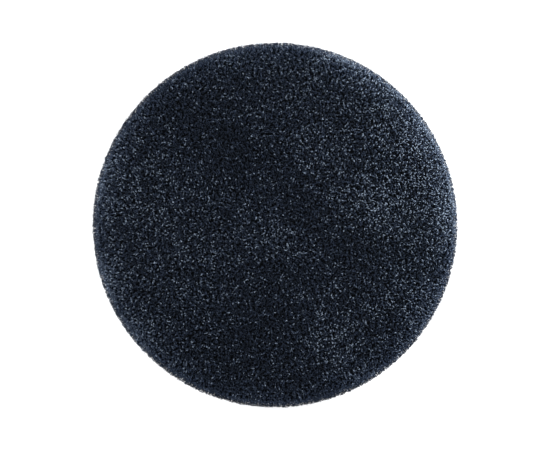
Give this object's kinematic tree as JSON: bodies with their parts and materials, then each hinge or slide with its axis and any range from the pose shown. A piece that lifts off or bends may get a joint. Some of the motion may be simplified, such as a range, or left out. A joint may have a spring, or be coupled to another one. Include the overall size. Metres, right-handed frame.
{
  "type": "polishing pad",
  "caption": "Round microfibre polishing pad: a dark looped-pile face on a tapered foam interface, with a hook-and-loop back.",
  "frame": {"origin": "middle of the hook-and-loop back, on the plane that the pad lies on", "axes": "+Z out of the working face, along the spin axis; +X and +Y are alike, because the pad is round"},
  "size_m": [0.15, 0.15, 0.019],
  "materials": {
    "loop_fabric": "brushed loops",
    "loop_ground": "close knit",
    "adhesive": "cured film",
    "foam": "open cells",
    "knit": "warp knit",
    "pile": "looped yarn pile"
  },
  "bodies": {
    "backing": {"loop_nap": "loop_fabric", "loop_ground": "loop_ground", "back_adhesive": "adhesive", "foam_interface": "foam"},
    "face": {"face_adhesive": "adhesive", "ground_knit": "knit", "microfibre_pile": "pile"}
  },
  "joints": [
    {"name": "foam_press", "type": "slide", "parent": "backing", "child": "face", "axis": [0, 0, -1], "range_m": [0, 0.004], "stiffness_N_per_m": 31000, "deforming": ["foam_interface"]}
  ]
}
